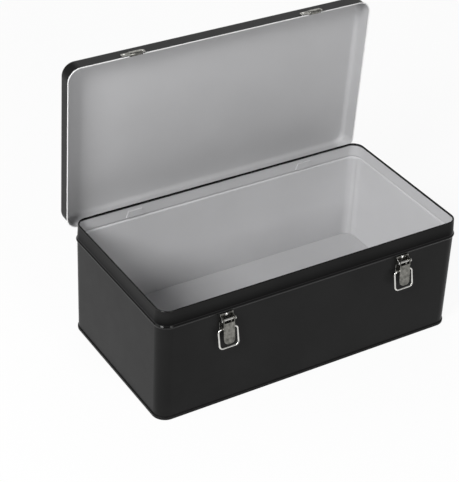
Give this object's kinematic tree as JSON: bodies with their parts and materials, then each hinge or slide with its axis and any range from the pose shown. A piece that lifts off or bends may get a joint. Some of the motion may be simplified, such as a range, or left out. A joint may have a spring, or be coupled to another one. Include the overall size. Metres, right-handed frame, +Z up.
{
  "type": "seed storage box",
  "caption": "Black lacquered tinplate box with rounded corners, a grey inside, a hinged lid standing open and wire toggle latches on its front, for seed packets.",
  "frame": {"origin": "on the floor, under the middle of the open box's footprint", "axes": "+X to the right along the front, -Y out of the front with the latches, +Z up"},
  "size_m": [0.3226, 0.2035, 0.276],
  "materials": {
    "black_lacquer": "satin black lacquer outside, light grey lacquer inside, on thin tinplate",
    "grey_lacquer": "light grey satin lacquer on thin tinplate",
    "nickel_plate": "bright nickel plate on stamped steel and wire",
    "hinge_steel": "black lacquered steel"
  },
  "bodies": {
    "box": {"body_wall": "black_lacquer", "bottom_panel": "grey_lacquer", "hinge_body_leaf_left": "hinge_steel", "hinge_pin_left": "hinge_steel", "latch_base_left": "nickel_plate", "latch_pin_left": "nickel_plate", "latch_rivet_left_top": "nickel_plate", "latch_rivet_left_foot": "nickel_plate", "hinge_body_leaf_right": "hinge_steel", "hinge_pin_right": "hinge_steel", "latch_base_right": "nickel_plate", "latch_pin_right": "nickel_plate", "latch_rivet_right_top": "nickel_plate", "latch_rivet_right_foot": "nickel_plate"},
    "lid": {"lid_shell": "black_lacquer", "hinge_lid_leaf_left": "hinge_steel", "strike_left": "nickel_plate", "strike_rivet_left_inner": "nickel_plate", "strike_rivet_left_outer": "nickel_plate", "hinge_lid_leaf_right": "hinge_steel", "strike_right": "nickel_plate", "strike_rivet_right_inner": "nickel_plate", "strike_rivet_right_outer": "nickel_plate"},
    "lever_left": {"latch_lever_left": "nickel_plate"},
    "bail_left": {"latch_bail_left": "nickel_plate"},
    "lever_right": {"latch_lever_right": "nickel_plate"},
    "bail_right": {"latch_bail_right": "nickel_plate"}
  },
  "joints": [
    {"name": "lid_hinge", "type": "hinge", "parent": "box", "child": "lid", "pos_m": [0, 0.07902, 0.0983], "axis": [-1, 0, 0], "range_deg": [-87, 0]},
    {"name": "lever_left_pivot", "type": "hinge", "parent": "box", "child": "lever_left", "pos_m": [-0.095, -0.09698, 0.094], "axis": [-1, 0, 0], "range_deg": [0, 130]},
    {"name": "bail_left_pivot", "type": "hinge", "parent": "lever_left", "child": "bail_left", "pos_m": [-0.095, -0.09663, 0.0845], "axis": [1, 0, 0], "range_deg": [-168, 0]},
    {"name": "lever_right_pivot", "type": "hinge", "parent": "box", "child": "lever_right", "pos_m": [0.095, -0.09698, 0.094], "axis": [-1, 0, 0], "range_deg": [0, 130]},
    {"name": "bail_right_pivot", "type": "hinge", "parent": "lever_right", "child": "bail_right", "pos_m": [0.095, -0.09663, 0.0845], "axis": [1, 0, 0], "range_deg": [-168, 0]}
  ]
}
